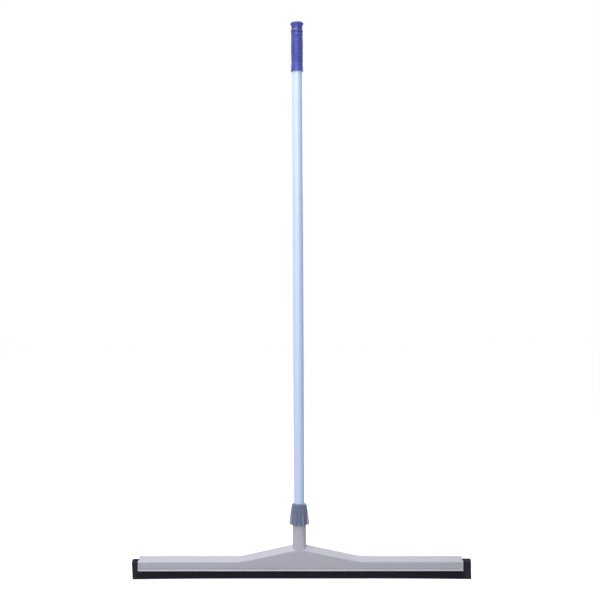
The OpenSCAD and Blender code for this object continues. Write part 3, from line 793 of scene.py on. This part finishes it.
# The wings' broad sides are marked, so that the material can paint them paler: painted light on them
painted_light_wing_side = sector.verts.layers.float.new("painted_light_wing_side")
grid = [[sector.verts.new((x * mm, y * mm, z * mm)) for x, y, z in row] for row in rows]
tip_column = columns // 2
side_columns = (5, 6, 7)
for row in grid[:len(grid) - len(inside)]:
    for k in side_columns:
        row[tip_column - k][painted_light_wing_side] = row[tip_column + k][painted_light_wing_side] = 1.0
for one, two in zip(grid, grid[1:]):
    for k in range(columns - 1):
        sector.faces.new((one[k], one[k + 1], two[k + 1], two[k]))
sector.faces.new(grid[0][::-1] + grid[-1])

# Glass-filled nylon: slate grey and satin, with a fine eroded tool grain and a cloudy glass-fibre bloom.
# The wings' broad sides are painted paler than the body, painted light that stands in for the light coming
# through the thin wings.
nylon, tree, shader, place_at = start_material("Glass-filled nylon, slate grey", 0.4, ior=1.53)
bloom_size = 6 * mm
grain_size = 0.6 * mm
bloom = add(tree, "ShaderNodeTexNoise", {"Vector": place_at, "Scale": 1 / bloom_size, "Detail": 5})
slate = add(tree, "ShaderNodeMix", {0: bloom.outputs["Fac"], 6: linear("#5A647F"), 7: linear("#66708D")},
            data_type="RGBA")
lit_wing_mask = add(tree, "ShaderNodeAttribute", attribute_type="GEOMETRY", attribute_name="painted_light_wing_side")
# Painted light: the marked wing sides are mixed towards a pale grey
paler = add(tree, "ShaderNodeMix", {0: lit_wing_mask.outputs["Fac"], 6: slate.outputs[2], 7: linear("#AEB4C4")},
            data_type="RGBA")
tree.links.new(paler.outputs[2], shader.inputs["Base Color"])
grain = add(tree, "ShaderNodeTexNoise", {"Vector": place_at, "Scale": 1 / grain_size, "Detail": 2})
bump = add(tree, "ShaderNodeBump", {"Height": grain.outputs["Fac"], "Strength": 0.2, "Distance": 0.08 * mm})
tree.links.new(bump.outputs["Normal"], shader.inputs["Normal"])
satin = add(tree, "ShaderNodeMapRange", {"Value": bloom.outputs["Fac"], "To Min": 0.34, "To Max": 0.48})
tree.links.new(satin.outputs["Result"], shader.inputs["Roughness"])
place("winged_collar", repeated(sector, wing_count, nylon, turn=360 / wing_count), nylon,
      "collar", "locking_collar", smooth_angle=40)

# Pole tube
# A drawn aluminium tube with a pale blue powder coat, cut square. Its ends are hidden, the lower one in
# the socket and the upper one in the grip.
tube_low, tube_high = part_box("pole_tube")
tube_spare = 0.45
tube_r = tube_high.x / mm + tube_spare
tube_wall = 1.45
seam_drop = 3.9
tube_top = tube_high.z / mm - seam_drop
tube = turned(eased([
    (tube_r - tube_wall, tube_low.z / mm, 0.2), (tube_r, tube_low.z / mm, 0.3),
    (tube_r, tube_top, 0.3), (tube_r - tube_wall, tube_top, 0.2)], steps=3))

# Powder-coated aluminium: a smooth pale blue coat with a soft gloss, the draw lines of the tube just
# showing through it lengthwise. The lines are drawn wider than real ones, so that they show.
coated, tree, shader, place_at = start_material("Powder-coated aluminium, pale blue", 0.28, ior=1.5)
line_w = 1.4 * mm
line_length = 260 * mm
peel_size = 1.8 * mm
along = add(tree, "ShaderNodeMapping",
            {"Vector": place_at, "Scale": (1 / line_w, 1 / line_w, 1 / line_length)})
lines = add(tree, "ShaderNodeTexNoise", {"Vector": along.outputs[0], "Scale": 1.0, "Detail": 3})
blue = add(tree, "ShaderNodeMix", {0: lines.outputs["Fac"], 6: linear("#C4D7FA"), 7: linear("#D0E1FE")},
           data_type="RGBA")
tree.links.new(blue.outputs[2], shader.inputs["Base Color"])
peel = add(tree, "ShaderNodeTexNoise", {"Vector": place_at, "Scale": 1 / peel_size, "Detail": 1})
bump = add(tree, "ShaderNodeBump", {"Height": peel.outputs["Fac"], "Strength": 0.08, "Distance": 0.06 * mm})
tree.links.new(bump.outputs["Normal"], shader.inputs["Normal"])
gloss = add(tree, "ShaderNodeMapRange", {"Value": lines.outputs["Fac"], "To Min": 0.24, "To Max": 0.36})
tree.links.new(gloss.outputs["Result"], shader.inputs["Roughness"])
place("coated_tube", tube, coated, "pole", "pole_tube")

# Foot plug
# A black polyethylene plug pressed into the lower end of the tube, with two soft ribs that hold it
# there. It rests on the socket's floor and never shows in use.
plug_low, plug_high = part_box("pole_foot_plug")
plug_z = plug_low.z / mm
plug_top = plug_high.z / mm
disc_edge = 1
disc_top = plug_z + 2
low_rib_top = plug_z + 5
high_rib_low = plug_z + 8
high_rib_top = plug_z + 10
rib_slope = 0.6
tip_taper = 2
press_r = 9.95
press_tip_r = 8.95
plug_waist_r = 9.6
plug = turned(eased([
    (0, plug_z, 0), (tube_r - disc_edge, plug_z, 0.6), (tube_r, plug_z + disc_edge, 0.4),
    (tube_r, disc_top, 0.15), (press_r, disc_top, 0.1), (press_r, low_rib_top, 0.3),
    (plug_waist_r, low_rib_top + rib_slope, 0.3), (plug_waist_r, high_rib_low - rib_slope, 0.3),
    (press_r, high_rib_low, 0.3), (press_r, high_rib_top, 0.3), (plug_waist_r, high_rib_top + rib_slope, 0.3),
    (plug_waist_r, plug_top - tip_taper, 0.5), (press_tip_r, plug_top, 0.3), (0, plug_top, 0)], steps=3),
    sides=64, closed=False)

# Low-density polyethylene: black and waxy, with a soft haze on its gloss.
plug_plastic, tree, shader, place_at = start_material("Low-density polyethylene, black", 0.45, ior=1.51)
haze_size = 5 * mm
haze = add(tree, "ShaderNodeTexNoise", {"Vector": place_at, "Scale": 1 / haze_size, "Detail": 3})
wax = add(tree, "ShaderNodeMix", {0: haze.outputs["Fac"], 6: linear("#1F1F22"), 7: linear("#2B2B2F")},
          data_type="RGBA")
tree.links.new(wax.outputs[2], shader.inputs["Base Color"])
dull = add(tree, "ShaderNodeMapRange", {"Value": haze.outputs["Fac"], "To Min": 0.38, "To Max": 0.55})
tree.links.new(dull.outputs["Result"], shader.inputs["Roughness"])
place("foot_plug", plug, plug_plastic, "pole", "pole_foot_plug")

# Grip sleeve
# A royal-blue polypropylene sleeve pushed over the top of the tube, with thirteen rounded ribs for the
# hand and a mouth that flares out to a lip at its lower end.
sleeve_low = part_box("grip_sleeve")[0]
mouth_drop = 1.3
mouth = sleeve_low.z / mm - mouth_drop
seam = tube_top
sleeve_fit = 0.05
sleeve_bore = tube_r + sleeve_fit
grip_r = 13.3
neck_r = 13.1
lip_r = 14.0
flare_r = 13.8
groove = 1.0
swell = 0.45
rib_count = 13
rib_pitch = 4.4
rib_foot = 1.75
rib_top = 0.75
plain_top = 11
rib_low = seam - plain_top - (rib_count - 1) * rib_pitch
rib_mid = rib_low + (rib_count - 1) * rib_pitch / 2
ribs_from = rib_low - rib_pitch / 2
ribs_to = ribs_from + rib_count * rib_pitch
trough = grip_r - groove
lip_edge = 1
lip_taper = 0.25
lip_top = mouth + 3.4
flare_step = 0.3
step_top = mouth + 4.8
flare_low = mouth + 5.8
neck_low = mouth + 17
neck_top = rib_low - 4.4
trough_low = rib_low - 3.6
shoulder_low = ribs_to + 0.2
shoulder_top = ribs_to + 1.2
seam_edge = 0.9
skin_r = sleeve_bore + 0.5
part_gap = 0.005 * mm
rib = turned(eased([
    (trough, ribs_from, 0), (trough, rib_low - rib_foot, 0.35), (grip_r, rib_low - rib_top, 0.9),
    (grip_r, rib_low + rib_top, 0.9), (trough, rib_low + rib_foot, 0.35),
    (trough, ribs_from + rib_pitch, 0)], steps=3), closed=False)
# Low-gloss blue polypropylene is made here, because the repeated ribs carry it
blue_plastic, tree, shader, place_at = start_material("Moulded polypropylene, royal blue", 0.36, ior=1.49)
sleeve = repeated(rib, rib_count, blue_plastic, step=(0, 0, rib_pitch))
lower = eased([
    (sleeve_bore, seam, 0), (sleeve_bore, mouth, 0.25), (lip_r - lip_taper, mouth, 0.5),
    (lip_r, mouth + lip_edge, 0.8), (lip_r, lip_top, 0.6), (flare_r - flare_step, step_top, 0.4),
    (flare_r, flare_low, 0.5), (neck_r, neck_low, 6), (neck_r, neck_top, 0.5), (trough, trough_low, 0.4),
    (trough, ribs_from, 0)])
upper = eased([
    (trough, ribs_to, 0), (trough, shoulder_low, 0), (grip_r, shoulder_top, 0.6),
    (grip_r, seam - seam_edge, 0.4), (grip_r - seam_edge, seam, 0.2), (sleeve_bore, seam, 0)])
for part in (turned(lower, closed=False), turned(upper, closed=False)):
    mesh = bpy.data.meshes.new("sleeve_part")
    part.to_mesh(mesh)
    part.free()
    sleeve.from_mesh(mesh)
    bpy.data.meshes.remove(mesh)
bmesh.ops.remove_doubles(sleeve, verts=sleeve.verts, dist=part_gap)
# The ribs swell a little towards the middle of the grip
for v in sleeve.verts:
    r, z = v.co.xy.length / mm, v.co.z / mm
    if r > skin_r and ribs_from < z < ribs_to:
        out = swell * (1 - ((z - rib_mid) / (ribs_to - rib_mid)) ** 2)
        v.co.x *= (r + out) / r
        v.co.y *= (r + out) / r
bmesh.ops.recalc_face_normals(sleeve, faces=sleeve.faces)

# Moulded polypropylene: an even royal blue with a satin skin, cloudier where the melt flowed together,
# and a fine grain from the tool.
flow_size = 18 * mm
grain_size = 0.7 * mm
flow = add(tree, "ShaderNodeTexNoise", {"Vector": place_at, "Scale": 1 / flow_size, "Detail": 3})
royal = add(tree, "ShaderNodeMix", {0: flow.outputs["Fac"], 6: linear("#3A4499"), 7: linear("#414BA4")},
            data_type="RGBA")
# Painted shade: the cap's marked waist is mixed towards a dark blue
shade_mask = add(tree, "ShaderNodeAttribute", attribute_type="GEOMETRY", attribute_name="waist_painted_shade")
shaded_blue = add(tree, "ShaderNodeMix", {0: shade_mask.outputs["Fac"], 6: royal.outputs[2], 7: linear("#262C6C")},
            data_type="RGBA")
tree.links.new(shaded_blue.outputs[2], shader.inputs["Base Color"])
grain = add(tree, "ShaderNodeTexNoise", {"Vector": place_at, "Scale": 1 / grain_size, "Detail": 2})
bump = add(tree, "ShaderNodeBump", {"Height": grain.outputs["Fac"], "Strength": 0.07, "Distance": 0.05 * mm})
tree.links.new(bump.outputs["Normal"], shader.inputs["Normal"])
satin = add(tree, "ShaderNodeMapRange", {"Value": flow.outputs["Fac"], "To Min": 0.31, "To Max": 0.42})
tree.links.new(satin.outputs["Result"], shader.inputs["Roughness"])
place("ribbed_sleeve", sleeve, blue_plastic, "pole", "grip_sleeve", smooth_angle=60)

# End cap
# The blue cap that closes the grip: a shank pressed into the tube, and a narrow waist that flares like a
# trumpet to a domed rim, which keeps the hand from slipping off.
cap_low, cap_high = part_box("grip_end_cap")
cap_top = cap_high.z / mm
shank_z = cap_low.z / mm
seam_gap = 0.1
cap_seam = seam + seam_gap
shank_taper = 1.4
band_top = cap_seam + 3.0
waist_low = cap_seam + 8.0
waist_r = 12.4
dome_r = 14.9
dome_h = 5.4
dome_curve = 0.65
rim_z = cap_top - 4.7
flare_z = rim_z - 8.4
flare_top_r = dome_r - 0.25
flare_h = rim_z - 0.6 - flare_z
flare_curve = 2.4
flare_steps = 12
cap_r = 13.85
waist_shade = 0.6
shade_past = 2
stem = eased([
    (0, shank_z, 0), (press_tip_r, shank_z, 0.4), (press_r, shank_z + shank_taper, 0.6),
    (press_r, cap_seam, 0), (cap_r - seam_edge, cap_seam, 0.2), (cap_r, cap_seam + seam_edge, 0.4),
    (cap_r, band_top, 1.5), (waist_r, waist_low, 3), (waist_r, flare_z, 0)])
flare = [(waist_r + (flare_top_r - waist_r) * (k / flare_steps) ** flare_curve,
          flare_z + flare_h * k / flare_steps) for k in range(1, flare_steps + 1)]
dome_angles = [math.radians(a) for a in (0, 2, 5, 9, 14, 20, 27, 35, 44, 54, 64, 73, 80, 85, 88)]
dome = [(dome_r * math.cos(a) ** dome_curve, rim_z + dome_h * math.sin(a) ** dome_curve) for a in dome_angles]
cap = turned(stem + flare + dome + [(0, rim_z + dome_h)], closed=False)
# The waist is marked, so that the material can paint it darker: painted shade that damps its highlight
waist_painted_shade = cap.verts.layers.float.new("waist_painted_shade")
for v in cap.verts:
    if (cap_seam + shade_past) * mm < v.co.z < (flare_z + shade_past) * mm:
        v[waist_painted_shade] = waist_shade
place("domed_cap", cap, blue_plastic, "pole", "grip_end_cap", smooth_angle=50)

# Floor, light and camera
# A white studio floor under soft light from the upper left, seen from the height of the pole's middle
# and a little from the right.
scene = bpy.context.scene
scene.view_settings.view_transform = "Standard"
floor_size = 30
floor_z = -end_sag * mm
camera_yaw = math.radians(0.85)
camera_roll = math.radians(0.27)
camera_back = 2.3005
camera_side = 0.0039
camera_z = 0.6146


def seen_directly(tree):
    """1 where the camera, a mirror or glass shows a surface, and 0 where it only lights other things."""
    rays = add(tree, "ShaderNodeLightPath").outputs
    seen = rays["Is Camera Ray"]
    for kind in ("Is Glossy Ray", "Is Transmission Ray"):
        seen = add(tree, "ShaderNodeMath", {0: seen, 1: rays[kind]}, operation="MAXIMUM").outputs[0]
    return seen


floor_mesh = bpy.data.meshes.new("studio_floor")
corners = [(x * floor_size / 2, y * floor_size / 2, floor_z) for x, y in ((-1, -1), (1, -1), (1, 1), (-1, 1))]
floor_mesh.from_pydata(corners, [], [(0, 1, 2, 3)])
floor = bpy.data.objects.new("studio_floor", floor_mesh)
scene.collection.objects.link(floor)
floor_paint = bpy.data.materials.new("Studio floor, white")
floor_paint.use_nodes = True
tree = floor_paint.node_tree
tree.nodes.clear()
seen = seen_directly(tree)
matt = add(tree, "ShaderNodeBsdfDiffuse", {"Color": linear("#959597")})
glow = add(tree, "ShaderNodeEmission", {"Color": linear("#FFFFFF"), "Strength": 0.945})
lit = add(tree, "ShaderNodeAddShader", {0: matt.outputs[0], 1: glow.outputs[0]})
both = add(tree, "ShaderNodeMixShader", {0: seen, 1: matt.outputs[0], 2: lit.outputs[0]})
add(tree, "ShaderNodeOutputMaterial", {"Surface": both.outputs[0]})
floor_mesh.materials.append(floor_paint)

world = bpy.data.worlds.new("Studio")
scene.world = world
world.use_nodes = True
tree = world.node_tree
tree.nodes.clear()
seen = seen_directly(tree)
fill = add(tree, "ShaderNodeBackground", {"Color": linear("#F4F6FF"), "Strength": 0.18})
white = add(tree, "ShaderNodeBackground", {"Color": linear("#FFFFFF"), "Strength": 1.0})
both = add(tree, "ShaderNodeMixShader", {0: seen, 1: fill.outputs[0], 2: white.outputs[0]})
add(tree, "ShaderNodeOutputWorld", {"Surface": both.outputs[0]})


def soft_light(name, at, aim, wide, tall, power):
    """A soft box at one point, turned to another."""
    lamp = bpy.data.lights.new(name, "AREA")
    lamp.shape = "RECTANGLE"
    lamp.size = wide
    lamp.size_y = tall
    lamp.energy = power
    obj = bpy.data.objects.new(name, lamp)
    obj.location = at
    obj.rotation_euler = (Vector(aim) - Vector(at)).to_track_quat("-Z", "Y").to_euler()
    scene.collection.objects.link(obj)


soft_light("top", (-0.45, -0.65, 2.7), (0, 0, 0.3), 1.3, 1.3, 52)
soft_light("front", (-0.45, -2.6, 1.3), (0, 0, 0.8), 1.2, 1.2, 30)
soft_light("low", (-0.45, -2.6, 0.3), (0, 0, 0.6), 1.0, 0.5, 4)
soft_light("left", (-2.3, -0.5, 0.8), (0, 0, 0.5), 1.2, 1.4, 5)
soft_light("right", (2.3, -0.5, 0.8), (0, 0, 0.5), 1.2, 1.4, 3)
soft_light("back", (0.8, 2.0, 1.7), (0, 0, 0.5), 1.3, 1.3, 20)

camera = bpy.data.cameras.new("camera")
camera.lens = 62.2
camera.sensor_width = 36
camera_obj = bpy.data.objects.new("camera", camera)
camera_obj.location = (math.sin(camera_yaw) * camera_back + math.cos(camera_yaw) * camera_side,
                       math.sin(camera_yaw) * camera_side - math.cos(camera_yaw) * camera_back, camera_z)
camera_obj.rotation_mode = "XYZ"
camera_obj.rotation_euler = (math.radians(90), camera_roll, camera_yaw)
scene.collection.objects.link(camera_obj)
scene.camera = camera_obj
